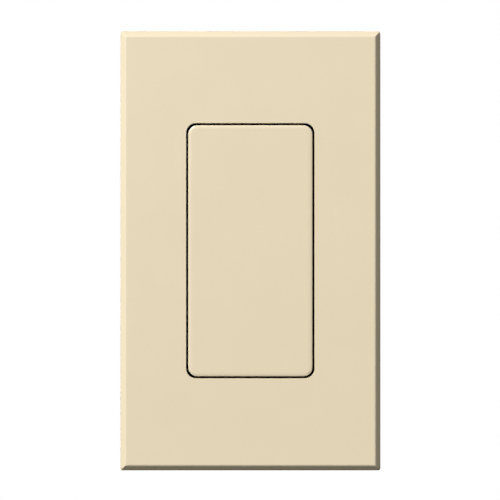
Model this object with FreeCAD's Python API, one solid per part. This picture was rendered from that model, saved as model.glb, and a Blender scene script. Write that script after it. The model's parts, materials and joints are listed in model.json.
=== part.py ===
import FreeCAD, Part
import math
import os
from FreeCAD import Vector

# Decorator-style paddle wall switch with a bevelled, screwless clip-on faceplate.
#
# Frame, in millimetres: +X to the right, +Y into the wall, +Z up. The origin is the centre of
# the faceplate's rear rim, which lies on the wall surface, so y < 0 is what shows in the room
# and y > 0 is inside the wall box.
#
# A level paddle rocks a little both ways about a horizontal steel shaft. A lever on its back
# reaches through the strap into the switch housing and swings a forked contact carrier, which
# closes the lower contacts when the top of the paddle is pressed, and the upper contacts when
# the bottom is. Two sprung plungers bring the paddle back to level.

# ---- faceplate and opening ----
PLATE_W = 68.6
PLATE_H = 115.8
PLATE_D = 7.6  # stands this far off the wall
BEVEL_W = 1.72  # bevel round the front, with the rounding and the chamfer at its two ends
BEVEL_SLOPES = (44.5, 47.5)  # in degrees: the bevel is very slightly crowned
BEVEL_ROUNDING_R = 0.77  # between the front and the bevel
BEVEL_CHAMFER = 0.08  # at the outer edge
PLATE_FRONT_T = 2.2
PLATE_SIDE_T = 1.8
PLATE_CORNER_R = 0.6
PLATE_INSIDE_R = 1.2
PRY_SLOT_W = 10.0
PRY_SLOT_H = 1.4
OPENING_W = 33.8
OPENING_H = 67.2
OPENING_R = 2.6

# ---- paddle ----
PADDLE_GAP = 0.55  # all round, between paddle and opening
PADDLE_R = 2.4
PADDLE_FRONT_T = 1.8
# the paddle's edge from its side inwards, as (inset, depth): a tight corner, then a long soft roll
PADDLE_EDGE = ((0.0, 0.26), (0.05, 0.17), (0.16, 0.115), (0.36, 0.06), (0.62, 0.02), (0.95, 0.0))
PADDLE_SKIRT_T = 1.3
PADDLE_SKIRT_REAR = -4.9
PIVOT_Y = -3.6
SHAFT_R = 1.0
SHAFT_HALF = 14.8
PIVOT_RIB_X = 9.8
STAKE_R = 0.9  # pins that the lever is staked on
STAKE_Z = 5.8
LEVER_FOOT_REAR = -4.85

# ---- front tray ----
TRAY_CLEAR = 0.3  # the tray's wall stands back from the opening's edge
TRAY_WALL = 1.0
TRAY_FRONT = -4.9
TRAY_FLOOR = -2.5
PEDESTAL_X0 = 12.0
PEDESTAL_X1 = 14.4
BUMPER_R = 1.8
BUMPER_X = 10.0
BUMPER_Z = 32.0

# ---- strap, with the standard one-gang hole spacings ----
STRAP_T = 1.25
STRAP_REAR = -0.1  # just off the wall, so that only the faceplate's rim lies in the wall's plane
STRAP_W = 33.0
STRAP_MID_H = 68.8
BOX_SCREW_Z = 83.34 / 2
PLATE_SCREW_Z = 96.84 / 2
STRAP_END_Z = 53.2
STRAP_NECK_W = 13.6
STRAP_WINDOW_W = 24.4
STRAP_WINDOW_H = 48.0
EAR_R = 5.0  # plaster ears, one each side of each end
EAR_X = 9.8
EAR_Z = 47.8
EAR_GROOVE_X = 6.8
EAR_GROOVE_DEPTH = 0.42
GROUND_X = -12.4
GROUND_Y = 6.8
GROUND_TAB_Z = -STRAP_MID_H / 2  # outer face of the grounding tab
GROUND_SCREW_END = -30.3

# ---- adapter plate ----
ADAPTER_T = 1.8
ADAPTER_CLEAR = 0.5
ADAPTER_R = 1.6
ADAPTER_RIM_REAR = -0.2
FLAT_HEAD_R = 3.3
FLAT_HEAD_H = 1.45
FLAT_HEAD_SUNK = 0.1

# ---- housing ----
HOUSING_W = 35.0
HOUSING_H = 62.0
HOUSING_R = 2.0
HOUSING_REAR_R = 0.8
PANEL_W = 17.0  # shallow plain panel sunk in the rear, with a wire gauge groove in it
PANEL_H = 40.0
PANEL_DEPTH = 0.4
GAUGE_W = 1.6
GAUGE_H = 12.0
GAUGE_Z = -12.0
GAUGE_DEPTH = 1.0
COVER_REAR = 2.2
HOUSING_REAR = 22.8
CAVITY_HALF_W = 9.6
CAVITY_HALF_H = 24.5
CAVITY_FLOOR = 20.5
SEAM_GROOVE = 0.35  # width and depth of the step along the joint between cover and base
RIVET_X = 13.0
RIVET_Z = 26.5
RIVET_R = 1.5
RIVET_BORE_R = 0.95
RIVET_HEAD_R = 2.4
RIVET_HOLE_R = 1.55
RIVET_SINK_R = 2.8

# ---- mechanism ----
LEVER_LENGTH = 12.0  # paddle shaft to lever tip
FORK_LENGTH = 5.0  # lever tip to carrier pin
CARRIER_Y = PIVOT_Y + LEVER_LENGTH + FORK_LENGTH
LEVER_TIP_R = 1.5
CARRIER_PIN_R = 0.75
CONTACT_Z = 11.0
CONTACT_DOME_R = 4.0
PLUNGER_Z = 20.0
PLUNGER_STEM_R = 1.3
PLUNGER_HEAD_R = 2.7
PLUNGER_HEAD_REAR = -4.6
SPRING_R = 2.4
SPRING_WIRE = 0.65
WELL_R = 2.75
WELL_WALL = 0.95
WELL_FLOOR = 9.0
WELL_VENT_R = 1.0
STRIP_T = 0.9  # brass of the terminals
TERMINAL_X = 12.6  # inner face of each terminal plate
TERMINAL_Y = 10.2  # axis of each terminal screw
SIDE_TERMINAL_Z = 15.0
POCKET_FRONT = 4.2  # front wall of each pocket in the housing's sides
CLAMP_X0 = 16.7
CLAMP_X1 = 17.9
SCREW_TOP_X = 20.1
WIRE_HOLE_R = 1.3
WIRE_HOLE_X = 15.3
WIRE_HOLE_DZ = 3.9

OVERLAP = 0.2  # how far pieces that are joined reach into each other

# ---- threads, as plain cylinders of the thread's outer radius ----
NO6_R = 1.74
NO8_R = 2.05
TIP_R = 1.0
ADAPTER_SCREW_END = 2.6
BOX_SCREW_START = 1.3  # the thread starts behind the washer that keeps the screw captive
BOX_SCREW_END = 20.4
THREAD_FIT = 0.03  # a tapped hole is this much larger than its screw

# ---- derived planes ----
FRONT = -PLATE_D
PLATE_INSIDE = FRONT + PLATE_FRONT_T
PADDLE_INSIDE = FRONT + PADDLE_FRONT_T
PADDLE_W = OPENING_W - 2 * PADDLE_GAP
PADDLE_H = OPENING_H - 2 * PADDLE_GAP
STRAP_FRONT = STRAP_REAR - STRAP_T
COVER_FRONT = STRAP_REAR + 0.01
ADAPTER_FRONT = STRAP_FRONT - ADAPTER_T
TRAY_IN_W = OPENING_W + 2 * TRAY_CLEAR
TRAY_IN_H = OPENING_H + 2 * TRAY_CLEAR
TRAY_OUT_W = TRAY_IN_W + 2 * TRAY_WALL
TRAY_OUT_H = TRAY_IN_H + 2 * TRAY_WALL
STRIP_FRONT = CAVITY_FLOOR - STRIP_T
BLADE_FRONT = CARRIER_Y + 2.0
BLADE_T = 0.8
BLADE_REAR = BLADE_FRONT + BLADE_T
BLADE_RIVET_Z = 3.3
TERMINALS = ((1, SIDE_TERMINAL_Z), (1, -SIDE_TERMINAL_Z), (-1, 0.0))  # (side, height) of each

X_AXIS = Vector(1, 0, 0)
Y_AXIS = Vector(0, 1, 0)
Z_AXIS = Vector(0, 0, 1)
SIDES = (-1, 1)


# ---- shape helpers ----
def block(x0, x1, y0, y1, z0, z1):
    """A box between the given planes, in whichever order each pair comes."""
    low = Vector(min(x0, x1), min(y0, y1), min(z0, z1))
    return Part.makeBox(abs(x1 - x0), abs(y1 - y0), abs(z1 - z0), low)


def rod(radius, start, axis, length):
    return Part.makeCylinder(radius, length, Vector(*start), axis)


def rod_x(radius, x0, x1, y, z):
    return rod(radius, (min(x0, x1), y, z), X_AXIS, abs(x1 - x0))


def rod_y(radius, y0, y1, x, z):
    return rod(radius, (x, min(y0, y1), z), Y_AXIS, abs(y1 - y0))


def rod_z(radius, z0, z1, x, y):
    return rod(radius, (x, y, min(z0, z1)), Z_AXIS, abs(z1 - z0))


def cone_y(r0, r1, y0, y1, x, z):
    """A cone along +Y from radius r0 at y0 to radius r1 at y1."""
    return Part.makeCone(r0, r1, y1 - y0, Vector(x, y0, z), Y_AXIS)


def join(*shapes):
    return shapes[0].multiFuse(list(shapes[1:])).removeSplitter()


def cut(shape, *tools):
    return shape.cut(Part.makeCompound(list(tools)))


def outline(width, height, radius, y, x=0.0, z=0.0):
    """A rounded rectangle in the plane at y, centred on x and z."""
    a = width / 2
    b = height / 2
    mid = radius * math.sqrt(0.5)
    edges = []
    ends = []
    for sx, sz in ((1, 1), (-1, 1), (-1, -1), (1, -1)):
        centre = Vector(x + sx * (a - radius), y, z + sz * (b - radius))
        along_x = centre + Vector(sx * radius, 0, 0)
        along_z = centre + Vector(0, 0, sz * radius)
        start, end = (along_x, along_z) if sx == sz else (along_z, along_x)
        between = centre + Vector(sx * mid, 0, sz * mid)
        edges.append(Part.Arc(start, between, end).toShape())
        ends.append((start, end))
    for i, (_, end) in enumerate(ends):
        edges.append(Part.makeLine(end, ends[(i + 1) % 4][0]))
    return Part.Wire(Part.__sortEdges__(edges))


def slab(width, height, radius, y0, y1, x=0.0, z=0.0):
    """A rounded rectangle drawn out from y0 to y1."""
    face = Part.Face(outline(width, height, radius, y0, x, z))
    return face.extrude(Vector(0, y1 - y0, 0))


def lofted(sections):
    """A solid through rounded rectangles (width, height, radius, y), with flat bands between them."""
    wires = [outline(*section) for section in sections]
    return Part.makeLoft(wires, True, True)


def prism(points, direction):
    """A closed polygon drawn out along a vector."""
    corners = [Vector(*p) for p in points]
    return Part.Face(Part.makePolygon(corners + corners[:1])).extrude(direction)


def dome_y(radius, y0, y1, x, z, dome_r):
    """A button from y0 to y1 whose far end is a shallow dome of radius dome_r."""
    toward = 1 if y1 > y0 else -1
    ball = Part.makeSphere(dome_r, Vector(x, y1 - toward * dome_r, z))
    return rod_y(radius, y0, y1, x, z).common(ball)


def cross_recess_y(y0, depth, x, z, arm=1.9, width=0.9):
    """A cross recess and a straight slot, cut into a head whose top is at y0, going towards +Y."""
    cross = block(x - arm, x + arm, y0, y0 + depth, z - width / 2, z + width / 2)
    return cross.fuse(block(x - width / 2, x + width / 2, y0, y0 + depth, z - arm, z + arm))


# ---- faceplate ----
def faceplate():
    """A shallow shell with a mitred bevel, snap ridges inside its rim and a pry slot below."""
    sections = [(PLATE_W, PLATE_H, PLATE_CORNER_R, 0)]
    for inset, depth in bevel_profile():
        corner = max(0.15, PLATE_CORNER_R - inset)
        sections.append((PLATE_W - 2 * inset, PLATE_H - 2 * inset, corner, FRONT + depth))
    body = lofted(sections)
    inside_w = PLATE_W - 2 * PLATE_SIDE_T
    inside_h = PLATE_H - 2 * PLATE_SIDE_T
    hollow = slab(inside_w, inside_h, PLATE_INSIDE_R, PLATE_INSIDE, 1)
    shell = cut(body, hollow, opening_tool())
    pieces = [shell] + plate_ribs() + snap_ridges(inside_w / 2, inside_h / 2)
    half_w = PRY_SLOT_W / 2
    bottom = -PLATE_H / 2
    pry_slot = block(-half_w, half_w, -PRY_SLOT_H, 1, bottom - 1, bottom + PLATE_SIDE_T + 0.5)
    return cut(join(*pieces), pry_slot)


def bevel_profile():
    """The faceplate's front edge from outside inwards, as (inset, depth).

    Going outwards it is a rounding, then the slightly crowned bevel, then a fine chamfer. The
    rounding is five short flats and the crown is two.
    """
    start, end = BEVEL_SLOPES
    rounding_w = BEVEL_ROUNDING_R * math.sin(math.radians(start))
    crown_w = BEVEL_W - BEVEL_CHAMFER - rounding_w
    crown_r = crown_w / (math.sin(math.radians(end)) - math.sin(math.radians(start)))
    arcs = [(BEVEL_ROUNDING_R, start * i / 5, start * (i + 1) / 5) for i in range(5)]
    arcs += [(crown_r, start, (start + end) / 2), (crown_r, (start + end) / 2, end)]
    inset = BEVEL_W
    depth = 0.0
    profile = [(inset, depth)]
    for radius, slope_in, slope_out in arcs:
        a = math.radians(slope_in)
        b = math.radians(slope_out)
        inset -= radius * (math.sin(b) - math.sin(a))
        depth += radius * (math.cos(a) - math.cos(b))
        profile.append((inset, depth))
    profile.append((0.0, depth + 2 * BEVEL_CHAMFER))
    return profile[::-1]


def opening_tool():
    """The opening through the faceplate's front, with its front edge only just broken."""
    ease = 0.03
    return lofted([
        (OPENING_W + 2 * ease, OPENING_H + 2 * ease, OPENING_R + ease, FRONT - 0.01),
        (OPENING_W, OPENING_H, OPENING_R, FRONT + ease),
        (OPENING_W, OPENING_H, OPENING_R, 0),
    ])


def plate_ribs():
    """Stiffening ribs on the back of the faceplate's front wall, clear of the tray and screws."""
    rib_t = 1.2
    upright_x = 22.5
    crosswise_z = (36.8, 52.6)
    front = PLATE_INSIDE - OVERLAP
    rear = ADAPTER_FRONT - 0.3
    inside_z = PLATE_H / 2 - PLATE_SIDE_T + OVERLAP
    inside_x = PLATE_W / 2 - PLATE_SIDE_T + OVERLAP
    ribs = []
    for side in SIDES:
        x0 = side * upright_x - rib_t / 2
        ribs.append(block(x0, x0 + rib_t, front, rear, -inside_z, inside_z))
        for z in crosswise_z:
            z0 = side * z - rib_t / 2
            ribs.append(block(-inside_x, inside_x, front, rear, z0, z0 + rib_t))
    return ribs


def snap_ridges(half_w, half_h):
    """Short ridges inside the rim, which catch behind the adapter plate's edge."""
    reach = 0.9
    length = 10.0
    upright_spacing = 38.0
    level_x = 17.0
    profile = ((OVERLAP, -1.15), (-reach, -0.95), (-reach, -0.6), (OVERLAP, -0.25))
    ridges = []
    for side in SIDES:
        for z in (-upright_spacing, 0.0, upright_spacing):
            points = [(side * (half_w + d), y, z - length / 2) for d, y in profile]
            ridges.append(prism(points, Vector(0, 0, length)))
        for x in (-level_x, level_x):
            points = [(x - length / 2, y, side * (half_h + d)) for d, y in profile]
            ridges.append(prism(points, Vector(length, 0, 0)))
    return ridges


# ---- adapter plate, which the faceplate clips on to ----
def adapter_plate():
    width = PLATE_W - 2 * PLATE_SIDE_T - 2 * ADAPTER_CLEAR
    height = PLATE_H - 2 * PLATE_SIDE_T - 2 * ADAPTER_CLEAR
    plate = slab(width, height, ADAPTER_R, ADAPTER_FRONT, STRAP_FRONT)
    rim_out = slab(width - 4.4, height - 2.4, ADAPTER_R, STRAP_FRONT - OVERLAP, ADAPTER_RIM_REAR)
    rim_in = slab(width - 6.8, height - 4.2, PLATE_INSIDE_R, STRAP_FRONT - 1, 0)
    window = slab(TRAY_OUT_W + 2, TRAY_OUT_H + 2, 3.4, ADAPTER_FRONT - 1, 0)
    return cut(join(plate, cut(rim_out, rim_in), *adapter_ribs()), window, *adapter_holes())


def adapter_ribs():
    """A long upright rib each side of the window, and short ribs from it to the rim."""
    rib_t = 1.2
    upright_x = 21.5
    rim_x = 29.5
    half_h = 53.0
    front = STRAP_FRONT - OVERLAP
    rear = ADAPTER_RIM_REAR
    ribs = []
    for side in SIDES:
        ribs.append(block(side * upright_x, side * (upright_x + rib_t), front, rear, -half_h, half_h))
        for z in (-40.0, -20.0, 0.0, 20.0, 40.0):
            z0 = z - rib_t / 2
            ribs.append(block(side * (upright_x + 0.5), side * rim_x, front, rear, z0, z0 + rib_t))
    return ribs


def adapter_holes():
    """Countersunk screw holes, clearance slots for the box screws, and a slot in each corner."""
    holes = []
    front = ADAPTER_FRONT - 1
    seat = ADAPTER_FRONT + FLAT_HEAD_SUNK
    for side in SIDES:
        z = side * PLATE_SCREW_Z
        holes.append(rod_y(NO6_R + 0.1, front, 1, 0, z))
        holes.append(rod_y(FLAT_HEAD_R + THREAD_FIT, front, seat, 0, z))
        holes.append(cone_y(FLAT_HEAD_R + THREAD_FIT, NO6_R + THREAD_FIT, seat, seat + FLAT_HEAD_H, 0, z))
        holes.append(slab(12.0, 9.2, 4.5, front, 1, 0, side * BOX_SCREW_Z))
        for x in SIDES:
            holes.append(slab(9.0, 5.0, 2.4, front, 1, x * 25.8, side * 48.0))
    return holes


def adapter_screws():
    """Two flat-head screws that hold the adapter plate to the strap."""
    solids = []
    for side in SIDES:
        z = side * PLATE_SCREW_Z
        top = ADAPTER_FRONT + FLAT_HEAD_SUNK
        head = cone_y(FLAT_HEAD_R, NO6_R, top, top + FLAT_HEAD_H, 0, z)
        shank = rod_y(NO6_R, top + FLAT_HEAD_H - OVERLAP, ADAPTER_SCREW_END, 0, z)
        tip = cone_y(NO6_R, TIP_R, ADAPTER_SCREW_END, ADAPTER_SCREW_END + 0.7, 0, z)
        solids.append(cut(join(head, shank, tip), cross_recess_y(top - 0.01, 1.0, 0, z, 1.8, 0.8)))
    return Part.makeCompound(solids)


# ---- paddle and what moves with it ----
def paddle():
    """A level, flush-faced shell with pivot ribs, stiffening ribs and two staked pins."""
    sections = [(PADDLE_W, PADDLE_H, PADDLE_R, PADDLE_SKIRT_REAR)]
    for inset, depth in PADDLE_EDGE:
        sections.append((PADDLE_W - 2 * inset, PADDLE_H - 2 * inset, PADDLE_R - inset, FRONT + depth))
    body = lofted(sections)
    inside_w = PADDLE_W - 2 * PADDLE_SKIRT_T
    inside_h = PADDLE_H - 2 * PADDLE_SKIRT_T
    hollow = slab(inside_w, inside_h, 1.2, PADDLE_INSIDE, 0)
    pieces = [cut(body, hollow)]
    for side in SIDES:
        pieces.append(pivot_rib(side * PIVOT_RIB_X))
        pieces += paddle_ribs(side, inside_w / 2 + 0.15, inside_h / 2 + 0.15)
        pieces.append(rod_y(STAKE_R, PADDLE_INSIDE - OVERLAP, -4.5, 0, side * STAKE_Z))
        pieces.append(dome_y(1.6, LEVER_FOOT_REAR, -4.15, 0, side * STAKE_Z, 2.4))
    bore = rod_x(SHAFT_R + 0.01, -12, 12, PIVOT_Y, 0)
    return cut(join(*pieces), bore)


def paddle_ribs(side, reach_x, reach_z):
    """Thin stiffening ribs inside the upper (side 1) or lower (side -1) half of the paddle."""
    rib_t = 0.8
    front = PADDLE_INSIDE - OVERLAP
    rear = -5.0
    ribs = []
    for x in SIDES:
        x0 = x * PIVOT_RIB_X - rib_t / 2
        ribs.append(block(x0, x0 + rib_t, front, rear, side * 5.0, side * reach_z))
    for z in (12.0, 25.5):
        z0 = side * z - rib_t / 2
        ribs.append(block(-reach_x, reach_x, front, rear, z0, z0 + rib_t))
    return ribs


def pivot_rib(x):
    """A web that carries the paddle's shaft, standing on the inside of the paddle."""
    rib_t = 1.6
    hub = rod_x(1.9, x - rib_t / 2, x + rib_t / 2, PIVOT_Y, 0)
    root = PADDLE_INSIDE - OVERLAP
    web = prism(
        [
            (x - rib_t / 2, root, -5.2),
            (x - rib_t / 2, root, 5.2),
            (x - rib_t / 2, PIVOT_Y + 0.6, 1.8),
            (x - rib_t / 2, PIVOT_Y + 0.6, -1.8),
        ],
        Vector(rib_t, 0, 0),
    )
    return hub.fuse(web)


def pivot_shaft():
    chamfer = 0.25
    shaft = rod_x(SHAFT_R, -SHAFT_HALF, SHAFT_HALF, PIVOT_Y, 0)
    ends = [e for e in shaft.Edges if e.Curve.TypeId == "Part::GeomCircle"]
    return shaft.makeChamfer(chamfer, ends)


def drive_lever():
    """The lever staked to the paddle's back, whose round tip works the carrier's fork."""
    half_w = 2.5
    foot = slab(11.0, 15.4, 1.5, PADDLE_INSIDE + 0.01, LEVER_FOOT_REAR)
    holes = [rod_y(STAKE_R + 0.05, -7, 0, 0, side * STAKE_Z) for side in SIDES]
    hub = rod_x(2.0, -3.4, 3.4, PIVOT_Y, 0)
    cheeks = block(-3.4, 3.4, LEVER_FOOT_REAR - 0.3, PIVOT_Y, -2.0, 2.0)
    tip_y = PIVOT_Y + LEVER_LENGTH
    stem = prism(
        [
            (-half_w, PIVOT_Y, -1.6),
            (-half_w, PIVOT_Y, 1.6),
            (-half_w, tip_y - 3.2, 1.0),
            (-half_w, tip_y, 0.9),
            (-half_w, tip_y, -0.9),
            (-half_w, tip_y - 3.2, -1.0),
        ],
        Vector(2 * half_w, 0, 0),
    )
    tip = rod_x(LEVER_TIP_R, -half_w, half_w, tip_y, 0)
    bore = rod_x(SHAFT_R + 0.01, -5, 5, PIVOT_Y, 0)
    return cut(join(foot, hub, cheeks, stem, tip), bore, *holes)


# ---- front tray: carries the shaft and closes the opening behind the paddle ----
def front_tray():
    corner = OPENING_R + TRAY_CLEAR
    wall = slab(TRAY_OUT_W, TRAY_OUT_H, corner + TRAY_WALL, TRAY_FRONT, STRAP_FRONT)
    hollow = slab(TRAY_IN_W, TRAY_IN_H, corner, TRAY_FRONT - 1, TRAY_FLOOR)
    tray = cut(wall, hollow)
    pedestals = [pedestal(side) for side in SIDES]
    lever_window = slab(22.8, 12.0, 1.5, TRAY_FLOOR - 0.01, 0)
    holes = [rod_y(WELL_R + 0.05, -4, 0, 0, side * PLUNGER_Z) for side in SIDES]
    holes += [rod_y(RIVET_HOLE_R, -4, 0, x * RIVET_X, z * RIVET_Z) for x in SIDES for z in SIDES]
    holes += [rod_y(BUMPER_R + 0.02, -4, 0, x, z) for x, z in bumper_places()]
    tray = cut(tray, lever_window, *holes)
    entry_half_h = 0.85  # narrower than the shaft, so that it holds
    bore = rod_x(SHAFT_R + 0.03, -16, 16, PIVOT_Y, 0)
    entry = block(-16, 16, -7, PIVOT_Y, -entry_half_h, entry_half_h)
    return cut(join(tray, *pedestals), bore, entry)


def pedestal(side):
    """A bearing post on the tray's floor, open at the front so that the shaft snaps in."""
    foot_half_h = 3.2
    top_r = 1.75
    x0, x1 = sorted((side * PEDESTAL_X0, side * PEDESTAL_X1))
    top = rod_x(top_r, x0, x1, PIVOT_Y, 0)
    foot = prism(
        [
            (x0, TRAY_FLOOR + 0.1, -foot_half_h),
            (x0, TRAY_FLOOR + 0.1, foot_half_h),
            (x0, PIVOT_Y, top_r),
            (x0, PIVOT_Y, -top_r),
        ],
        Vector(x1 - x0, 0, 0),
    )
    return top.fuse(foot)


def bumper_places():
    return [(x * BUMPER_X, z * BUMPER_Z) for x in SIDES for z in SIDES]


def bumper_pads():
    """Four soft pads in the tray's floor that stop the paddle quietly."""
    rear = STRAP_FRONT - 0.02
    top = -3.05
    dome_r = 5.0
    return Part.makeCompound([dome_y(BUMPER_R, rear, top, x, z, dome_r) for x, z in bumper_places()])


# ---- return plungers and springs ----
def return_plunger(side):
    """A domed head that bears on the paddle, on a stem that guides the spring."""
    z = side * PLUNGER_Z
    stem_end = 6.6
    head = dome_y(PLUNGER_HEAD_R, PLUNGER_HEAD_REAR, PADDLE_INSIDE + 0.05, 0, z, 6.0)
    stem = rod_y(PLUNGER_STEM_R, PLUNGER_HEAD_REAR - 0.1, stem_end, 0, z)
    return join(head, stem, cone_y(PLUNGER_STEM_R, 0.8, stem_end, stem_end + 0.5, 0, z))


def return_spring(side):
    """The spring's outer form, as a sleeve between the plunger's head and the well's floor."""
    z = side * PLUNGER_Z
    sleeve = rod_y(SPRING_R, PLUNGER_HEAD_REAR + 0.02, WELL_FLOOR - 0.05, 0, z)
    return cut(sleeve, rod_y(SPRING_R - SPRING_WIRE, -5, WELL_FLOOR + 0.5, 0, z))


# ---- mounting strap ----
def mounting_strap():
    back = STRAP_REAR
    pieces = [slab(STRAP_W, STRAP_MID_H, 2.0, STRAP_FRONT, back)]
    tools = [slab(STRAP_WINDOW_W, STRAP_WINDOW_H, 2.0, -3, 3)]
    for side in SIDES:
        z0 = side * (STRAP_MID_H / 2 - 1)
        z1 = side * STRAP_END_Z
        pieces.append(slab(STRAP_NECK_W, abs(z1 - z0), 1.5, STRAP_FRONT, back, 0, (z0 + z1) / 2))
        shoulder_z = side * (STRAP_MID_H / 2 + 0.2)
        pieces.append(slab(19.0, 3.0, 1.4, STRAP_FRONT, back, 0, shoulder_z))
        for x in SIDES:
            groove_x = x * EAR_GROOVE_X
            pieces.append(rod_y(EAR_R, STRAP_FRONT, back, x * EAR_X, side * EAR_Z))
            tools.append(break_groove(groove_x, side, STRAP_FRONT - 0.01, STRAP_FRONT + EAR_GROOVE_DEPTH))
            tools.append(break_groove(groove_x, side, STRAP_REAR + 0.01, STRAP_REAR - EAR_GROOVE_DEPTH))
            tools.append(rod_y(RIVET_HOLE_R, -3, 3, x * RIVET_X, side * RIVET_Z))
        tools.append(slab(6.6, 3.9, 1.9, -3, 3, 0, side * BOX_SCREW_Z))
        tools.append(rod_y(NO6_R + THREAD_FIT, -3, 3, 0, side * PLATE_SCREW_Z))
    return cut(join(*pieces, ground_tab()), *tools, ground_hole())


def break_groove(x, side, y_open, y_deep):
    """A V groove across a plaster ear's root, where the ear snaps off."""
    half_w = 0.45
    z = side * (EAR_Z - EAR_R - 0.8)
    points = [(x - half_w, y_open, z), (x + half_w, y_open, z), (x, y_deep, z)]
    return prism(points, Vector(0, 0, side * (2 * EAR_R + 2)))


def ground_tab():
    """A tab bent back from the strap's lower corner, for the grounding screw."""
    half_w = 3.8
    x0 = GROUND_X - half_w
    x1 = GROUND_X + half_w
    z0 = GROUND_TAB_Z
    z1 = GROUND_TAB_Z + STRAP_T
    flat = block(x0, x1, STRAP_FRONT + 1.0, GROUND_Y + 1.0, z0, z1)
    round_end = rod_z(half_w, z0, z1, GROUND_X, GROUND_Y + 1.0)
    bend = block(x0, x1, STRAP_FRONT + 0.6, STRAP_REAR, z0, z0 + 2.4)
    return join(flat, round_end, bend)


def ground_hole():
    return rod_z(NO8_R + THREAD_FIT, GROUND_TAB_Z - 1, GROUND_TAB_Z + STRAP_T + 1, GROUND_X, GROUND_Y)


def ground_screw():
    """A slotted hex washer head screw, driven upwards into the ground tab."""
    seat = GROUND_TAB_Z
    head_h = 3.1
    flange_t = 0.7
    across_flats = 7.9
    flange = rod_z(4.5, seat - flange_t, seat, GROUND_X, GROUND_Y)
    hex_r = across_flats / 2 / math.cos(math.radians(30))
    corners = []
    for i in range(6):
        turn = math.radians(60 * i + 30)
        corners.append((GROUND_X + hex_r * math.cos(turn), GROUND_Y + hex_r * math.sin(turn), seat - head_h))
    hexagon = prism(corners, Vector(0, 0, head_h - flange_t + 0.1))
    crown = Part.makeSphere(6.4, Vector(GROUND_X, GROUND_Y, seat + 3.0))
    head = hexagon.common(crown)
    shank = rod_z(NO8_R, seat - 0.1, GROUND_SCREW_END, GROUND_X, GROUND_Y)
    half_slot = 0.55
    slot = block(
        GROUND_X - 5, GROUND_X + 5, GROUND_Y - half_slot, GROUND_Y + half_slot, seat - head_h - 1, seat - 2.0
    )
    return cut(join(flange, head, shank), slot)


def box_screws():
    """Two long oval-head screws, each with a plain neck that keeps it captive in the strap."""
    solids = []
    for side in SIDES:
        z = side * BOX_SCREW_Z
        head = dome_y(3.4, STRAP_FRONT - 0.01, -3.4, 0, z, 4.3)
        neck = rod_y(1.45, STRAP_FRONT - OVERLAP, BOX_SCREW_START, 0, z)
        thread = rod_y(NO6_R, BOX_SCREW_START, BOX_SCREW_END, 0, z)
        tip = cone_y(NO6_R, TIP_R, BOX_SCREW_END, BOX_SCREW_END + 0.9, 0, z)
        recess = cross_recess_y(-3.6, 1.3, 0, z, 1.7, 0.8)
        slot = block(-4, 4, -3.6, -2.7, z - 0.45, z + 0.45)
        solids.append(cut(join(head, neck, thread, tip), recess, slot))
    return Part.makeCompound(solids)


def screw_retainers():
    """Two fibre washers behind the strap, which the screws' threads can't pass."""
    solids = []
    for side in SIDES:
        z = side * BOX_SCREW_Z
        washer = slab(9.0, 9.0, 1.0, STRAP_REAR + 0.03, STRAP_REAR + 0.7, 0, z)
        solids.append(cut(washer, rod_y(1.5, -1, 2, 0, z)))
    return Part.makeCompound(solids)


# ---- housing ----
def housing_cover():
    """The housing's front half: a plate with the lever's slot and two spring wells."""
    plate = slab(HOUSING_W, HOUSING_H, HOUSING_R, COVER_FRONT, COVER_REAR)
    lip_w = 2 * CAVITY_HALF_W - 0.3
    lip_h = 2 * CAVITY_HALF_H - 0.3
    lip_t = 1.1
    lip_rear = COVER_REAR + 1.4
    lip_out = slab(lip_w, lip_h, 1.0, COVER_REAR - 0.3, lip_rear)
    lip_in = slab(lip_w - 2 * lip_t, lip_h - 2 * lip_t, 0.8, COVER_REAR, lip_rear + 1)
    pieces = [plate, cut(lip_out, lip_in)]
    lever_slot = slab(6.4, 5.2, 0.8, -1, 4)
    tools = [lever_slot]
    for side in SIDES:
        z = side * PLUNGER_Z
        pieces.append(rod_y(WELL_R + WELL_WALL, 0.5, WELL_FLOOR + 1.0, 0, z))
        tools.append(rod_y(WELL_R, -1, WELL_FLOOR, 0, z))
        tools.append(rod_y(WELL_VENT_R, -1, WELL_FLOOR + 2.0, 0, z))
        tools += [rod_y(RIVET_HOLE_R, -1, 4, x * RIVET_X, side * RIVET_Z) for x in SIDES]
    return cut(join(*pieces), *tools)


def housing_base():
    """The housing's rear half, open at the front, with a pocket and two wire holes at each terminal."""
    body = slab(HOUSING_W, HOUSING_H, HOUSING_R, COVER_REAR, HOUSING_REAR)
    rear = [e for e in body.Edges if e.BoundBox.YMin > HOUSING_REAR - 0.01]
    body = body.makeFillet(HOUSING_REAR_R, rear)
    tools = [slab(2 * CAVITY_HALF_W, 2 * CAVITY_HALF_H, 1.2, 0, CAVITY_FLOOR)]
    for side, z in TERMINALS:
        tools += terminal_room(side, z)
    tools += cored_pockets()
    for x in SIDES:
        for z in SIDES:
            tools.append(rod_y(RIVET_HOLE_R, 0, 30, x * RIVET_X, z * RIVET_Z))
            tools.append(rod_y(RIVET_SINK_R, HOUSING_REAR - 1.0, 30, x * RIVET_X, z * RIVET_Z))
    ground_screw_pocket = rod_z(2.6, -HOUSING_H / 2 - 1, GROUND_SCREW_END + 1.3, GROUND_X, GROUND_Y)
    tools.append(ground_screw_pocket)
    tools.append(slab(PANEL_W, PANEL_H, 1.5, HOUSING_REAR - PANEL_DEPTH, 30))
    tools.append(slab(GAUGE_W, GAUGE_H, GAUGE_W / 2 - 0.01, HOUSING_REAR - GAUGE_DEPTH, 30, 0, GAUGE_Z))
    tools.append(seam_groove())
    barrier_x = CAVITY_HALF_W + 0.2
    barriers = []
    for side in SIDES:
        barriers.append(block(-barrier_x, barrier_x, 18.0, CAVITY_FLOOR + 0.2, side * 5.2, side * 6.4))
    return join(cut(body, *tools), *barriers)


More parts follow.
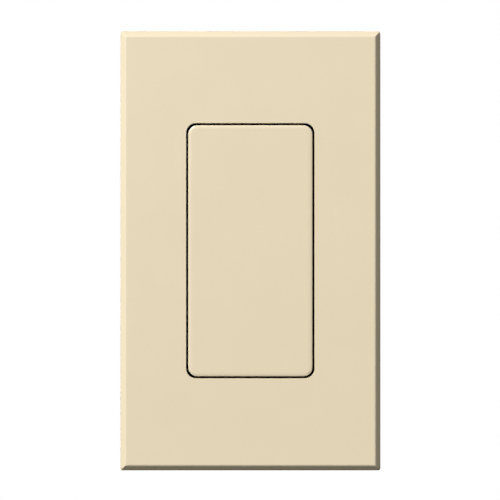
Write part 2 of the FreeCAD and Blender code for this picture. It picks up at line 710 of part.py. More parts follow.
def seam_groove():
    """A small step round the base's front edge, where the cover meets it."""
    around = slab(HOUSING_W + 2, HOUSING_H + 2, HOUSING_R + 1, COVER_REAR - 1, COVER_REAR + SEAM_GROOVE)
    kept_w = HOUSING_W - 2 * SEAM_GROOVE
    kept_h = HOUSING_H - 2 * SEAM_GROOVE
    return cut(around, slab(kept_w, kept_h, HOUSING_R - SEAM_GROOVE, COVER_REAR - 2, COVER_REAR + 2))


def terminal_room(side, z):
    """What is cut from the base for one terminal: its slot, its screw's pocket and its wire holes."""
    half = 6.0
    link = 2.6
    link_z = z - math.copysign(SIDE_TERMINAL_Z - CONTACT_Z, z) if z else 0.0
    edge = side * (HOUSING_W / 2 + 1)
    slot_in = side * (TERMINAL_X - 0.1)
    slot_out = side * (TERMINAL_X + STRIP_T + 0.1)
    tools = [
        block(slot_in, slot_out, 0, CAVITY_FLOOR + 0.1, z - half, z + half),
        block(side * (CAVITY_HALF_W - 0.5), slot_out, 0, CAVITY_FLOOR + 0.1, link_z - link, link_z + link),
        block(slot_in, edge, POCKET_FRONT, 16.4, z - half, z + half),
        rod_x(2.4, side * 10.9, slot_out, TERMINAL_Y, z),
    ]
    hole_x = side * WIRE_HOLE_X
    for dz in SIDES:
        hole_z = z + dz * WIRE_HOLE_DZ
        mouth = (HOUSING_REAR - 0.6, HOUSING_REAR + 0.01)
        tools.append(rod_y(WIRE_HOLE_R, 15, 30, hole_x, hole_z))
        tools.append(cone_y(WIRE_HOLE_R, WIRE_HOLE_R + 0.6, *mouth, hole_x, hole_z))
    return tools


def cored_pockets():
    """Plain pockets that keep the housing's side walls at an even thickness."""
    inner_x = 11.4
    rear = 20.8
    pockets = [block(inner_x, HOUSING_W, POCKET_FRONT, rear, -6.6, 6.6)]
    for side in SIDES:
        pockets.append(block(-inner_x, -HOUSING_W, POCKET_FRONT, rear, side * 8.4, side * 21.6))
    return pockets


def assembly_rivets():
    """Four hollow rivets that hold tray, strap, cover and base together."""
    solids = []
    for x in SIDES:
        for z in SIDES:
            px = x * RIVET_X
            pz = z * RIVET_Z
            barrel = rod_y(RIVET_R, TRAY_FLOOR - 0.5, HOUSING_REAR - 0.5, px, pz)
            front = cone_y(RIVET_HEAD_R - 0.5, RIVET_HEAD_R, TRAY_FLOOR - 0.6, TRAY_FLOOR, px, pz)
            rear = cone_y(RIVET_HEAD_R, RIVET_HEAD_R - 0.5, HOUSING_REAR - 1.0, HOUSING_REAR - 0.4, px, pz)
            solids.append(cut(join(barrel, front, rear), rod_y(RIVET_BORE_R, -5, 30, px, pz)))
    return Part.makeCompound(solids)


# ---- contact carrier and what rocks with it ----
def contact_carrier():
    """The insulating rocker: a fork in front that the lever drives, and a saddle for the blade."""
    half_w = 2.5
    fork_gap = LEVER_TIP_R + 0.06
    prong_out = 2.95
    mouth = CARRIER_Y - FORK_LENGTH - 1.4
    fork_root = CARRIER_Y - FORK_LENGTH + LEVER_TIP_R + 0.3
    hub = rod_x(1.95, -half_w, half_w, CARRIER_Y, 0)
    yoke = block(-half_w, half_w, mouth, CARRIER_Y, -prong_out, prong_out)
    slot = block(-half_w - 1, half_w + 1, mouth - 1, fork_root, -fork_gap, fork_gap)
    saddle = block(-half_w, half_w, BLADE_FRONT - 1.2, BLADE_FRONT - 0.01, -4.6, 4.6)
    rivet_holes = [rod_y(0.72, 13, 17, 0, side * BLADE_RIVET_Z) for side in SIDES]
    pin_hole = rod_x(CARRIER_PIN_R + 0.01, -5, 5, CARRIER_Y, 0)
    return cut(join(cut(yoke, slot), hub, saddle), pin_hole, *rivet_holes)


def contact_blade():
    blade = slab(5.2, 26.6, 1.2, BLADE_FRONT, BLADE_REAR)
    holes = [rod_y(0.72, 10, 20, 0, side * BLADE_RIVET_Z) for side in SIDES]
    holes += [rod_y(0.82, 10, 20, 0, side * CONTACT_Z) for side in SIDES]
    return cut(blade, *holes)


def blade_rivets():
    solids = []
    for side in SIDES:
        z = side * BLADE_RIVET_Z
        stem = rod_y(0.7, BLADE_FRONT - 1.3, BLADE_REAR + 0.1, 0, z)
        front = rod_y(1.2, BLADE_FRONT - 1.65, BLADE_FRONT - 1.21, 0, z)
        rear = rod_y(1.2, BLADE_REAR + 0.01, BLADE_REAR + 0.4, 0, z)
        solids.append(join(stem, front, rear))
    return Part.makeCompound(solids)


def moving_contacts():
    solids = []
    for side in SIDES:
        z = side * CONTACT_Z
        head = dome_y(1.6, BLADE_REAR + 0.01, BLADE_REAR + 1.0, 0, z, CONTACT_DOME_R)
        solids.append(join(head, rod_y(0.8, BLADE_FRONT - 0.2, BLADE_REAR + 0.1, 0, z)))
    return Part.makeCompound(solids)


def carrier_pin():
    return rod_x(CARRIER_PIN_R, -4.7, 4.7, CARRIER_Y, 0)


# ---- terminals ----
def terminal_plate(side, z):
    """The upright plate of a terminal, with its tapped hole."""
    x0 = side * TERMINAL_X
    x1 = side * (TERMINAL_X + STRIP_T)
    plate = block(x0, x1, 4.5, CAVITY_FLOOR, z - 5.8, z + 5.8)
    return cut(plate, rod_x(NO8_R + THREAD_FIT, x0 - 2, x0 + 2, TERMINAL_Y, z))


def side_terminal(side):
    """The upper or lower terminal: a strip on the cavity's floor that turns up at the right side."""
    plate = terminal_plate(1, side * SIDE_TERMINAL_Z)
    z = side * CONTACT_Z
    strip = block(-2.6, TERMINAL_X + STRIP_T, STRIP_FRONT, CAVITY_FLOOR, z - 2.4, z + 2.4)
    return cut(join(plate, strip), rod_y(0.92, 15, 25, 0, z))


def common_terminal():
    """The common terminal: a strip with two ears that carry the carrier's pin."""
    pieces = [
        terminal_plate(-1, 0.0),
        block(-TERMINAL_X - STRIP_T, 4.0, STRIP_FRONT, CAVITY_FLOOR, -2.4, 2.4),
    ]
    for side in SIDES:
        pieces.append(block(side * 3.1, side * 4.0, CARRIER_Y, CAVITY_FLOOR - 0.1, -2.2, 2.2))
        pieces.append(rod_x(2.2, side * 3.1, side * 4.0, CARRIER_Y, 0))
    return cut(join(*pieces), rod_x(CARRIER_PIN_R + 0.02, -6, 6, CARRIER_Y, 0))


def fixed_contact(side):
    z = side * CONTACT_Z
    head = dome_y(1.8, STRIP_FRONT - 0.01, 18.65, 0, z, CONTACT_DOME_R)
    return join(head, rod_y(0.9, STRIP_FRONT - 0.1, CAVITY_FLOOR - 0.02, 0, z))


def wire_clamp(side, z):
    """The pressure plate under a terminal screw's head, with two shallow wire grooves."""
    plate = block(side * CLAMP_X0, side * CLAMP_X1, 5.2, 15.2, z - 5.2, z + 5.2)
    plate = plate.makeFillet(0.5, [e for e in plate.Edges if e.BoundBox.XLength > 1.0])
    grooves = [rod_y(1.1, 0, 20, side * (CLAMP_X0 - 0.5), z + dz * WIRE_HOLE_DZ) for dz in SIDES]
    return cut(plate, rod_x(2.25, 0, side * 20, TERMINAL_Y, z), *grooves)


def terminal_screw(side, z):
    """A binding-head screw across the housing, slotted and cross-recessed."""
    seat = side * CLAMP_X1
    top = side * SCREW_TOP_X
    head = rod_x(3.9, seat, top, TERMINAL_Y, z)
    rim = [e for e in head.Edges if abs(e.BoundBox.XMin - top) < 0.01 and e.BoundBox.XLength < 0.01]
    head = head.makeFillet(0.9, rim)
    shank = rod_x(NO8_R, side * 11.2, seat + side * 0.1, TERMINAL_Y, z)
    slot = block(side * 19.1, side * 21, TERMINAL_Y - 0.55, TERMINAL_Y + 0.55, z - 5, z + 5)
    recess = block(side * 18.8, side * 21, TERMINAL_Y - 2.1, TERMINAL_Y + 2.1, z - 0.5, z + 0.5)
    return cut(join(head, shank), slot, recess)


# ---- write every node ----
NODES = {
    "faceplate": faceplate(),
    "adapter_plate": adapter_plate(),
    "adapter_screws": adapter_screws(),
    "paddle": paddle(),
    "pivot_shaft": pivot_shaft(),
    "drive_lever": drive_lever(),
    "front_tray": front_tray(),
    "bumper_pads": bumper_pads(),
    "upper_return_plunger": return_plunger(1),
    "lower_return_plunger": return_plunger(-1),
    "upper_return_spring": return_spring(1),
    "lower_return_spring": return_spring(-1),
    "mounting_strap": mounting_strap(),
    "box_screws": box_screws(),
    "screw_retainers": screw_retainers(),
    "ground_screw": ground_screw(),
    "housing_cover": housing_cover(),
    "housing_base": housing_base(),
    "assembly_rivets": assembly_rivets(),
    "contact_carrier": contact_carrier(),
    "contact_blade": contact_blade(),
    "blade_rivets": blade_rivets(),
    "moving_contacts": moving_contacts(),
    "carrier_pin": carrier_pin(),
    "upper_terminal": side_terminal(1),
    "lower_terminal": side_terminal(-1),
    "common_terminal": common_terminal(),
    "upper_fixed_contact": fixed_contact(1),
    "lower_fixed_contact": fixed_contact(-1),
}
for label, (side, z) in zip(("upper", "lower", "common"), TERMINALS):
    NODES[label + "_wire_clamp"] = wire_clamp(side, z)
    NODES[label + "_terminal_screw"] = terminal_screw(side, z)

os.makedirs("parts", exist_ok=True)
for name, shape in NODES.items():
    solids = shape.Solids
    if not solids or not all(s.isValid() and s.Volume > 0 for s in solids):
        raise ValueError(name + " has a bad solid")
    print(name, len(solids), "solid(s),", round(sum(s.Volume for s in solids), 1), "mm3")
    whole = solids[0] if len(solids) == 1 else Part.makeCompound(solids)
    whole.exportStep("parts/" + name + ".step")
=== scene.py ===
import json
import math

import bmesh
import bpy
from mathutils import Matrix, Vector


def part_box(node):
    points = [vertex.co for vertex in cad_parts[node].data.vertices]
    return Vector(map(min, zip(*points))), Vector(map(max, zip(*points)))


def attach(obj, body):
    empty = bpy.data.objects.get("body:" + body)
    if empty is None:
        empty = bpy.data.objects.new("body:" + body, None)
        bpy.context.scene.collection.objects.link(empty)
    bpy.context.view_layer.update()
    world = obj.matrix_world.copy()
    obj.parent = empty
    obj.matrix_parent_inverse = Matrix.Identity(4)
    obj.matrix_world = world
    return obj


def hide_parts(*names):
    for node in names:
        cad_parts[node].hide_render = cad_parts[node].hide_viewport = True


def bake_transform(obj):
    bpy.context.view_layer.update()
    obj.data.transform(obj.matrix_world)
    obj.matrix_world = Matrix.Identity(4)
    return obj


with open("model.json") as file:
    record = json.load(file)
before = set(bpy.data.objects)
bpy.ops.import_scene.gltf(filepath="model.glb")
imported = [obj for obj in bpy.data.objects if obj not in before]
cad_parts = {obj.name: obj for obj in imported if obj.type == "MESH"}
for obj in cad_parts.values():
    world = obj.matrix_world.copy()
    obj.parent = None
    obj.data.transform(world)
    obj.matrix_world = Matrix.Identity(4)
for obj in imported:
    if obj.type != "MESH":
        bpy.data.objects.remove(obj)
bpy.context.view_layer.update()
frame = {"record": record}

MM = 0.001
INTO_WALL = Vector((0, 1, 0))
UP = Vector((0, 0, 1))

# ---- camera and lights ----
LENS = 200.0  # mm, on a sensor 36 mm wide
SENSOR_W = 36.0
VIEW_W = 0.1316  # width seen in the plane of the faceplate's front
CAMERA_SHIFT = (-0.09 * MM, 0.21 * MM)  # how far the camera stands right of and above the centre

# each light: direction it comes from, distance, size, watts
FRONT_LIGHTS = {
    "key": ((-0.63, -1.0, 0.71), 3.4, 0.7, 151.8),
    "left_edge": ((-1.0, -0.03, 0.05), 1.5, 0.5, 1.05),
    "top_edge": ((-0.05, -0.03, 1.0), 1.5, 0.5, 0.62),
}
# The back lights are too far round to reach the bevels at the front.
BACK_LIGHTS = {
    "back_left": ((-0.62, 0.78, 0.3), 2.0, 0.5, 31.0),
    "back_right": ((0.62, 0.78, 0.3), 2.0, 0.5, 37.0),
}
MIRRORED_SHARE = 0.3  # share of a back light that polished metal shows
WARM_WHITE = (1.0, 0.96, 0.86)

# ---- screws, with the same thread pitch on all: 32 to the inch ----
PITCH = 25.4 / 32 * MM
NO6_R = 1.74 * MM
NO8_R = 2.05 * MM
BOX_HEAD_R = 3.4 * MM
BOX_THREAD_START = 1.3 * MM  # behind the wall's surface, clear of the retainer
FLAT_HEAD_R = 3.3 * MM
FLAT_THREAD_START = -1.6 * MM  # just behind the flat head
GROUND_HEAD_H = 3.1 * MM
TERMINAL_HEAD_H = 2.2 * MM
WELD = 0.001 * MM  # closer vertices than this are one

SPRING_WIRE_R = 0.31 * MM

FINISHES = {}  # every material that this script makes, by the name it asked for


def cad(name):
    """The Blender object that holds a CAD node."""
    return bpy.data.objects[name]


def slot_of(node):
    """The material slot that the record gives a CAD node."""
    return next(part["material_slot"] for part in frame["record"]["subparts"] if part["node"] == node)


# ---- node trees ----
def colour4(value):
    """A colour with its alpha added; a socket stays as it is."""
    if isinstance(value, tuple) and len(value) == 3:
        return (*value, 1.0)
    return value


def shade(colour, amount):
    return tuple(min(1.0, c * amount) for c in colour)


class Nodes:
    """A node tree, with short calls for the nodes that the world and the finishes share."""

    def __init__(self, tree):
        self.tree = tree

    def add(self, kind, inputs=None, **settings):
        node = self.tree.nodes.new(kind)
        for key, value in settings.items():
            setattr(node, key, value)
        for key, value in (inputs or {}).items():
            self.put(node.inputs[key], value)
        return node

    def put(self, socket, value):
        if isinstance(value, bpy.types.NodeSocket):
            self.tree.links.new(value, socket)
        else:
            socket.default_value = value

    def remap(self, value, low, high, to_low=0.0, to_high=1.0):
        """Eases from to_low to to_high as the value goes from low to high."""
        inputs = {"Value": value, "From Min": low, "From Max": high, "To Min": to_low, "To Max": to_high}
        return self.add("ShaderNodeMapRange", inputs, interpolation_type="SMOOTHSTEP").outputs["Result"]

    def mix(self, factor, a, b):
        node = self.add("ShaderNodeMix", data_type="RGBA")
        sockets = [s for s in node.inputs if s.enabled]
        for socket, value in zip(sockets, (factor, colour4(a), colour4(b))):
            self.put(socket, value)
        return [s for s in node.outputs if s.enabled][0]

    def maths(self, operation, a, b):
        node = self.add("ShaderNodeMath", operation=operation)
        self.put(node.inputs[0], a)
        self.put(node.inputs[1], b)
        return node.outputs[0]


class Finish(Nodes):
    """A material's node tree, built on the Principled shader."""

    def __init__(self, name):
        self.material = bpy.data.materials.new(name)
        self.material.use_nodes = True
        FINISHES[name] = self.material
        super().__init__(self.material.node_tree)
        self.shader = self.tree.nodes["Principled BSDF"]
        self.coords = self.add("ShaderNodeTexCoord").outputs["Object"]

    def noise(self, size_mm, detail=2.0, stretch=(1, 1, 1)):
        """Soft noise with features about size_mm across, longer along an axis with a small stretch."""
        mapped = self.add("ShaderNodeMapping", {"Vector": self.coords, "Scale": stretch}).outputs[0]
        inputs = {"Vector": mapped, "Scale": 1000.0 / size_mm, "Detail": detail}
        return self.add("ShaderNodeTexNoise", inputs).outputs["Fac"]

    def cells(self, size_mm, output):
        """Irregular cells about size_mm across: their Distance from a centre or their Color."""
        inputs = {"Vector": self.coords, "Scale": 1000.0 / size_mm}
        return self.add("ShaderNodeTexVoronoi", inputs).outputs[output]

    def bump(self, height, depth_mm, normal=None):
        inputs = {"Height": height, "Distance": depth_mm * MM, "Strength": 1.0}
        if normal is not None:
            inputs["Normal"] = normal
        return self.add("ShaderNodeBump", inputs).outputs[0]

    def edges(self, radius_mm):
        """A mask, 1 along sharp edges and 0 on the flats, and a normal that rounds those edges."""
        rounded = self.add("ShaderNodeBevel", {"Radius": radius_mm * MM}, samples=6).outputs[0]
        true = self.add("ShaderNodeNewGeometry").outputs["True Normal"]
        dot = self.add("ShaderNodeVectorMath", operation="DOT_PRODUCT")
        self.put(dot.inputs[0], rounded)
        self.put(dot.inputs[1], true)
        return self.remap(dot.outputs["Value"], 0.99, 0.8), rounded

    def surface(self, colour, roughness, normal, metallic=0.0, **constants):
        """Feeds the shader and returns the finished material."""
        self.put(self.shader.inputs["Base Color"], colour4(colour))
        self.put(self.shader.inputs["Roughness"], roughness)
        self.put(self.shader.inputs["Normal"], normal)
        self.shader.inputs["Metallic"].default_value = metallic
        for key, value in constants.items():
            self.shader.inputs[key.replace("_", " ")].default_value = value
        return self.material


# ---- studio ----
def photo_camera():
    """Straight at the front, through a long lens, with the plate filling most of the height."""
    data = bpy.data.cameras.new("photo_camera")
    data.lens = LENS
    data.sensor_width = SENSOR_W
    data.clip_start = 0.01
    camera = bpy.data.objects.new("photo_camera", data)
    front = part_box("faceplate")[0][1]
    right, above = CAMERA_SHIFT
    camera.location = (right, front - VIEW_W * LENS / SENSOR_W, above)
    camera.rotation_euler = (math.radians(90), 0, 0)
    bpy.context.collection.objects.link(camera)
    bpy.context.scene.camera = camera


def soft_light(name, toward, distance, size, power):
    """A square soft light that shines on the origin from the given direction."""
    data = bpy.data.lights.new(name, "AREA")
    data.shape = "SQUARE"
    data.size = size
    data.energy = power
    light = bpy.data.objects.new(name, data)
    place = Vector(toward).normalized() * distance
    light.location = place
    light.rotation_euler = (-place).to_track_quat("-Z", "Y").to_euler()
    bpy.context.collection.objects.link(light)
    return light


def all_lights():
    """The front lights, and each back light as a mirrored share and a share that only lights."""
    for name, (toward, distance, size, power) in FRONT_LIGHTS.items():
        soft_light(name, toward, distance, size, power)
    for name, (toward, distance, size, power) in BACK_LIGHTS.items():
        soft_light(name + "_shine", toward, distance, size, MIRRORED_SHARE * power)
        plain = soft_light(name, toward, distance, size, (1 - MIRRORED_SHARE) * power)
        plain.visible_glossy = False


def studio_world():
    """White to the eye, a dim warm room for the surfaces, and pale walls behind for reflections."""
    world = bpy.data.worlds.new("studio_world")
    bpy.context.scene.world = world
    world.use_nodes = True
    world.node_tree.nodes.clear()
    n = Nodes(world.node_tree)
    direction = n.add("ShaderNodeTexCoord").outputs["Generated"]
    into_wall = n.add("ShaderNodeSeparateXYZ", {"Vector": direction}).outputs["Y"]
    path = n.add("ShaderNodeLightPath").outputs
    room = n.remap(into_wall, 0.72, 0.9, 0.032, 0.5)
    walls = n.maths("MULTIPLY", n.remap(into_wall, -0.05, 0.3, 0.0, 0.45), path["Is Glossy Ray"])
    strength = n.maths("MAXIMUM", n.maths("MAXIMUM", room, walls), path["Is Camera Ray"])
    colour = n.mix(path["Is Camera Ray"], WARM_WHITE, (1.0, 1.0, 1.0))
    background = n.add("ShaderNodeBackground", {"Color": colour, "Strength": strength})
    n.add("ShaderNodeOutputWorld", {"Surface": background.outputs[0]})


def pale_floor():
    """A level floor, low enough to stay out of the straight view of the front."""
    half_w, near, far, level = 1.6, -2.2, 0.33, -0.1
    corners = [(-half_w, near, level), (half_w, near, level), (half_w, far, level), (-half_w, far, level)]
    mesh = bpy.data.meshes.new("floor")
    mesh.from_pydata(corners, [], [(0, 1, 2, 3)])
    mesh.materials.append(floor_paint())
    floor = bpy.data.objects.new("floor", mesh)
    bpy.context.collection.objects.link(floor)
    floor.visible_diffuse = False
    floor.visible_glossy = False


def floor_paint():
    """Matt pale paint that shows from above only, so that a view from below still finds the object."""
    g = Finish("floor_paint")
    base = g.mix(g.remap(g.noise(30.0, 3.0), 0.3, 0.7), (0.89, 0.89, 0.88), (0.9, 0.9, 0.89))
    material = g.surface(base, 0.75, g.bump(g.noise(1.5), 0.003))
    one_sided = g.add("ShaderNodeMixShader")
    g.put(one_sided.inputs[0], g.add("ShaderNodeNewGeometry").outputs["Backfacing"])
    g.put(one_sided.inputs[1], g.shader.outputs[0])
    g.put(one_sided.inputs[2], g.add("ShaderNodeBsdfTransparent").outputs[0])
    g.put(g.tree.nodes["Material Output"].inputs["Surface"], one_sided.outputs[0])
    return material


# ---- finishes ----
def plastic(name, colour, roughness, grain, depth, mottle, edge=0.06, **constants):
    """Moulded plastic: faint colour drift, fine mould grain, light handling scuffs, softened edges that are
    lightened, partly as wear and partly as painted highlight.
    """
    g = Finish(name)
    drift = g.remap(g.noise(18.0, 3.0), 0.3, 0.7)
    base = g.mix(drift, shade(colour, 1.0 - mottle), shade(colour, 1.0 + mottle))
    edge_mask, rounded = g.edges(0.12)
    # painted highlight and wear: sharp edges get a lighter copy of the colour; edge sets how much
    base = g.mix(g.maths("MULTIPLY", edge_mask, edge), base, shade(colour, 1.25))
    scuffs = g.remap(g.noise(2.5, 4.0, stretch=(1.0, 1.0, 0.12)), 0.56, 0.72, 0.0, 0.07)
    sheen = g.remap(g.noise(6.0, 3.0), 0.3, 0.7, roughness - 0.03, roughness + 0.03)
    normal = g.bump(g.noise(grain), depth, rounded)
    return g.surface(base, g.maths("ADD", sheen, scuffs), normal, **constants)


def moulding(name, colour, roughness, fleck):
    """Filled thermoset: pale flecks in the resin, a dull skin and a slightly rough mould face."""
    g = Finish(name)
    drift = g.remap(g.noise(9.0, 4.0), 0.3, 0.7)
    base = g.mix(drift, shade(colour, 0.93), shade(colour, 1.04))
    base = g.mix(g.remap(g.cells(0.55, "Distance"), 0.12, 0.2, 0.35, 0.0), base, fleck)
    edge_mask, rounded = g.edges(0.18)
    # painted highlight and wear: sharp edges get a lighter copy of the colour
    base = g.mix(g.maths("MULTIPLY", edge_mask, 0.25), base, shade(colour, 1.2))
    rough = g.remap(g.noise(1.8, 3.0), 0.3, 0.7, roughness - 0.06, roughness + 0.06)
    return g.surface(base, rough, g.bump(g.noise(0.5, 4.0), 0.02, rounded))


def plated(name, colour, roughness, stretch, stain, spangle=0.0):
    """Rolled or drawn metal: streaks along the rolling direction, spangle, stains, and bright edges that
    are partly wear and partly painted highlight.
    """
    g = Finish(name)
    streaks = g.noise(0.25, 3.0, stretch=stretch)
    base = g.mix(g.remap(g.noise(7.0, 4.0), 0.35, 0.7), colour, stain)
    if spangle:
        tones = g.cells(1.6, "Color")
        grey = g.add("ShaderNodeSeparateColor", {"Color": tones}).outputs[0]
        base = g.mix(g.maths("MULTIPLY", grey, spangle), base, shade(colour, 0.6))
    base = g.mix(g.remap(streaks, 0.35, 0.65, 0.0, 0.35), base, shade(colour, 0.78))
    edge_mask, rounded = g.edges(0.1)
    # painted highlight and wear: sharp edges get a lighter copy of the colour
    base = g.mix(g.maths("MULTIPLY", edge_mask, 0.6), base, shade(colour, 1.15))
    rough = g.remap(streaks, 0.25, 0.75, roughness - 0.08, roughness + 0.1)
    return g.surface(base, rough, g.bump(streaks, 0.004, rounded), metallic=1.0)


def screw_metal(name, colour, roughness, stain):
    """Plated or turned metal in small pieces: stains at random, and high edges lightened, partly as wear
    and partly as painted highlight.
    """
    g = Finish(name)
    base = g.mix(g.remap(g.noise(1.6, 4.0), 0.4, 0.7), colour, stain)
    edge_mask, rounded = g.edges(0.14)
    # painted highlight and wear: sharp edges get a lighter copy of the colour
    base = g.mix(g.maths("MULTIPLY", edge_mask, 0.7), base, shade(colour, 1.2))
    rough = g.remap(g.noise(0.6, 3.0), 0.3, 0.7, roughness - 0.06, roughness + 0.1)
    return g.surface(base, rough, g.bump(g.noise(0.12), 0.003, rounded), metallic=1.0)


def dyed_metal(name, colour, roughness, bare):
    """A dyed or blackened plating that has worn to the bright metal on its edges."""
    g = Finish(name)
    base = g.mix(g.remap(g.noise(1.2, 4.0), 0.35, 0.7), colour, shade(colour, 0.6))
    edge_mask, rounded = g.edges(0.16)
    edge_mask = g.maths("MULTIPLY", edge_mask, g.remap(g.noise(0.8, 3.0), 0.42, 0.6))
    base = g.mix(edge_mask, base, bare)
    rough = g.remap(g.noise(0.5, 3.0), 0.3, 0.7, roughness - 0.08, roughness + 0.08)
    return g.surface(base, rough, g.bump(g.noise(0.15), 0.003, rounded), metallic=0.85)


def rubber(name, colour):
    """Black rubber with dust in its pores."""
    g = Finish(name)
    dust = g.remap(g.noise(1.0, 4.0), 0.5, 0.75, 0.0, 0.3)
    base = g.mix(dust, colour, (0.12, 0.11, 0.1))
    _, rounded = g.edges(0.15)
    return g.surface(base, g.remap(dust, 0.0, 0.3, 0.72, 0.9), g.bump(g.noise(0.3, 3.0), 0.01, rounded))


def fibre(name, colour):
    """Pressed vulcanised fibre: short matted strands in two directions."""
    g = Finish(name)
    one = g.noise(0.5, 3.0, stretch=(0.15, 1, 1))
    two = g.noise(0.5, 3.0, stretch=(1, 1, 0.15))
    strands = g.maths("MAXIMUM", one, two)
    base = g.mix(g.remap(strands, 0.4, 0.7), shade(colour, 0.72), shade(colour, 1.3))
    _, rounded = g.edges(0.1)
    return g.surface(base, g.remap(strands, 0.4, 0.7, 0.75, 0.9), g.bump(strands, 0.03, rounded))


def build_materials():
    """Makes every finish, named as the record's slots are, and gives each CAD node its own."""
    ivory = (0.803, 0.697, 0.499)
    fine = {"grain": 0.3, "depth": 0.0012, "mottle": 0.006, "edge": 0.0}
    dark = {"grain": 0.25, "depth": 0.01, "mottle": 0.2}
    upright = (1, 1, 0.06)
    crosswise = (1, 0.08, 1)
    plastic("ivory_plate", ivory, 0.36, **fine)
    plastic("ivory_paddle", ivory, 0.34, **fine)
    plastic("dark_plate", (0.02, 0.02, 0.021), 0.5, **dark)
    plastic("dark_tray", (0.006, 0.006, 0.006), 0.6, **dark)
    plastic("nylon_black", (0.014, 0.014, 0.015), 0.42, grain=0.4, depth=0.004, mottle=0.2)
    plastic("nylon_natural", (0.74, 0.69, 0.56), 0.4, grain=0.5, depth=0.004, mottle=0.05,
            Subsurface_Weight=0.15)
    moulding("housing_cover", (0.40, 0.39, 0.36), 0.55, fleck=(0.75, 0.73, 0.68))
    moulding("housing_base", (0.44, 0.43, 0.40), 0.52, fleck=(0.8, 0.78, 0.72))
    plated("zinc_strap", (0.54, 0.56, 0.57), 0.47, upright, stain=(0.41, 0.42, 0.41), spangle=0.35)
    plated("zinc_clamps", (0.62, 0.62, 0.58), 0.3, crosswise, stain=(0.5, 0.48, 0.4))
    plated("spring_copper", (0.80, 0.46, 0.28), 0.28, (1, 1, 0.08), stain=(0.5, 0.26, 0.16))
    plated("brass_terminals", (0.80, 0.61, 0.27), 0.28, crosswise, stain=(0.5, 0.35, 0.15))
    screw_metal("zinc_screws", (0.68, 0.68, 0.66), 0.26, stain=(0.5, 0.49, 0.45))
    screw_metal("steel_pins", (0.62, 0.62, 0.62), 0.2, stain=(0.45, 0.45, 0.44))
    screw_metal("spring_steel", (0.46, 0.46, 0.47), 0.3, stain=(0.28, 0.27, 0.26))
    screw_metal("rivets", (0.72, 0.56, 0.28), 0.3, stain=(0.42, 0.3, 0.14))
    screw_metal("brass_screws", (0.84, 0.66, 0.30), 0.24, stain=(0.5, 0.36, 0.15))
    screw_metal("silver_contacts", (0.88, 0.86, 0.82), 0.2, stain=(0.5, 0.46, 0.38))
    dyed_metal("green_screw", (0.02, 0.30, 0.07), 0.34, bare=(0.6, 0.6, 0.56))
    dyed_metal("dark_screw", (0.035, 0.034, 0.036), 0.38, bare=(0.4, 0.38, 0.34))
    rubber("rubber_pads", (0.012, 0.012, 0.012))
    fibre("fibre_washers", (0.20, 0.045, 0.028))
    for part in frame["record"]["subparts"]:
        node = cad(part["node"])
        finish = FINISHES[part["material_slot"]]
        if not len(node.data.materials):
            node.data.materials.append(finish)
        for slot in node.material_slots:
            slot.material = finish


# ---- new pieces ----
def new_piece(name, bm, node, crease_deg):
    """Makes an object of the mesh, in the finish of the CAD node that it stands for."""
    bmesh.ops.recalc_face_normals(bm, faces=bm.faces[:])
    shade_by_angle(bm, crease_deg)
    mesh = bpy.data.meshes.new(name)
    bm.to_mesh(mesh)
    bm.free()
    piece = bpy.data.objects.new(name, mesh)
    bpy.context.collection.objects.link(piece)
    mesh.materials.append(FINISHES[slot_of(node)])
    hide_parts(node)
    return piece


def shade_by_angle(bm, degrees):
    """Smooth shading, with a hard edge wherever two faces meet at more than the angle."""
    for face in bm.faces:
        face.smooth = True
    for edge in bm.edges:
        edge.smooth = edge.calc_face_angle(0.0) < math.radians(degrees)


def join_rings(bm, rings):
    """Faces between each ring of vertices and the next."""
    for a, b in zip(rings, rings[1:]):
        for k in range(len(a)):
            n = (k + 1) % len(a)
            bm.faces.new((a[k], a[n], b[n], b[k]))


# ---- screws with real threads ----
def thread_surface(bm, place, axis, start, end, outer):
    """Adds a threaded shank from start to end along the axis, closed at its tapered tip.

    The groove fades in over its first turn. Returns the edges of the open first ring.
    """
    depth = 0.55 * PITCH
    tip, tip_share = 0.8 * MM, 0.62  # length of the taper, and the tip's radius as a share of the outer
    root, slope = 0.12, 0.72  # width of the groove's flat and of its flanks, as shares of half a turn
    sides = 32
    rings_per_turn = 10
    across = axis.orthogonal().normalized()
    along = axis.cross(across)
    count = max(2, round((end - start) / PITCH * rings_per_turn))
    rings = []
    for i in range(count + 1):
        s = start + (end - start) * i / count
        widest = outer * (tip_share + (1 - tip_share) * min(1.0, (end - s) / tip))
        groove = depth * min(1.0, (s - start) / PITCH)
        ring = []
        for k in range(sides):
            turn = k / sides
            flank = abs(2 * ((s / PITCH - turn) % 1.0) - 1)
            height = min(1.0, max(0.0, (flank - root) / slope))
            radius = min(outer - groove * (1 - height), widest)
            angle = 2 * math.pi * turn
            radial = across * math.cos(angle) + along * math.sin(angle)
            ring.append(bm.verts.new(place + axis * s + radial * radius))
        rings.append(ring)
    join_rings(bm, rings)
    bm.faces.new(rings[-1])
    first = rings[0]
    return [bm.edges.get((first[k - 1], first[k])) for k in range(sides)]


def on_shank(face, place, axis, start, outer):
    """Whether a whole face lies on a shank that begins at start along the axis."""
    slack = 0.02 * MM
    for vert in face.verts:
        offset = vert.co - place
        s = offset.dot(axis)
        if s < start - slack or (offset - axis * s).length > outer + slack:
            return False
    return True


def threaded_copy(node, spots, axis, start, end, outer):
    """A copy of a screw node with its plain shanks swapped for threaded ones.

    A shank runs from start to end, both measured along the axis, on the line through each spot.
    """
    collar = 0.12 * MM
    bm = bmesh.new()
    bm.from_mesh(cad(node).data)
    bmesh.ops.remove_doubles(bm, verts=bm.verts[:], dist=WELD)
    for spot in spots:
        plain = [face for face in bm.faces if on_shank(face, spot, axis, start, outer)]
        bmesh.ops.delete(bm, geom=plain, context="FACES")
        rim = [edge for edge in bm.edges if edge.is_boundary]
        first = thread_surface(bm, spot, axis, start + collar, end, outer)
        bmesh.ops.bridge_loops(bm, edges=rim + first)
    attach(new_piece("threaded_" + node, bm, node, crease_deg=35), "switch_body")


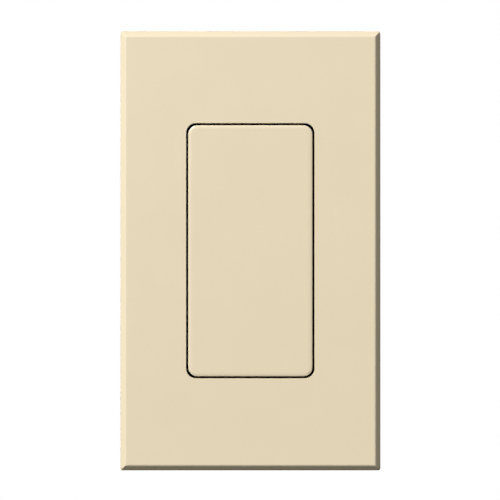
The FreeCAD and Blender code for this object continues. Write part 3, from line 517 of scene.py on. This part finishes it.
def thread_all_screws():
    """Each shank starts at a step or a head's underside and ends where its CAD box does."""
    for node, head_r, start in (("box_screws", BOX_HEAD_R, BOX_THREAD_START),
                                ("adapter_screws", FLAT_HEAD_R, FLAT_THREAD_START)):
        _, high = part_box(node)
        spots = [UP * (side * (high[2] - head_r)) for side in (-1, 1)]
        threaded_copy(node, spots, INTO_WALL, start, high[1], NO6_R)
    low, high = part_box("ground_screw")
    spot = Vector(((low[0] + high[0]) / 2, (low[1] + high[1]) / 2, 0))
    threaded_copy("ground_screw", [spot], UP, low[2] + GROUND_HEAD_H, high[2], NO8_R)
    for label, side in (("upper", 1), ("lower", 1), ("common", -1)):
        node = label + "_terminal_screw"
        low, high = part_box(node)
        spot = Vector((0, (low[1] + high[1]) / 2, (low[2] + high[2]) / 2))
        outside, inside = (-high[0], -low[0]) if side > 0 else (low[0], high[0])
        threaded_copy(node, [spot], Vector((-side, 0, 0)), outside + TERMINAL_HEAD_H, inside, NO8_R)


# ---- coil springs ----
def coil_spring(label):
    """A real compression spring with closed ends, in place of the plain sleeve."""
    node = label + "_return_spring"
    low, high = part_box(node)
    centre = Vector(((low[0] + high[0]) / 2, 0, (low[2] + high[2]) / 2))
    mean_r = (high[0] - low[0]) / 2 - SPRING_WIRE_R
    start, end = low[1] + SPRING_WIRE_R, high[1] - SPRING_WIRE_R
    closed, active = 1.25, 7.0  # turns
    closed_pitch = 2.05 * SPRING_WIRE_R
    active_rise = end - start - 2 * closed * closed_pitch
    turns = 2 * closed + active
    steps_per_turn, wire_sides = 28, 10
    count = int(turns * steps_per_turn)
    bm = bmesh.new()
    rings = []
    for i in range(count + 1):
        t = turns * i / count
        if t < closed:
            y = start + closed_pitch * t
        elif t > turns - closed:
            y = end - closed_pitch * (turns - t)
        else:
            y = start + closed * closed_pitch + active_rise * (t - closed) / active
        angle = 2 * math.pi * t
        radial = Vector((math.cos(angle), 0, math.sin(angle)))
        spot = centre + radial * mean_r + INTO_WALL * y
        ring = []
        for k in range(wire_sides):
            phase = 2 * math.pi * k / wire_sides
            offset = radial * math.cos(phase) + INTO_WALL * math.sin(phase)
            ring.append(bm.verts.new(spot + offset * SPRING_WIRE_R))
        rings.append(ring)
    join_rings(bm, rings)
    bm.faces.new(rings[0])
    bm.faces.new(rings[-1])
    coil = new_piece(label + "_return_coil", bm, node, crease_deg=45)
    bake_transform(coil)


# ---- put it together ----
photo_camera()
studio_world()
all_lights()
pale_floor()
build_materials()
thread_all_screws()
for label in ("upper", "lower"):
    coil_spring(label)

bpy.context.scene.view_settings.view_transform = "Standard"
bpy.context.scene.view_settings.look = "None"
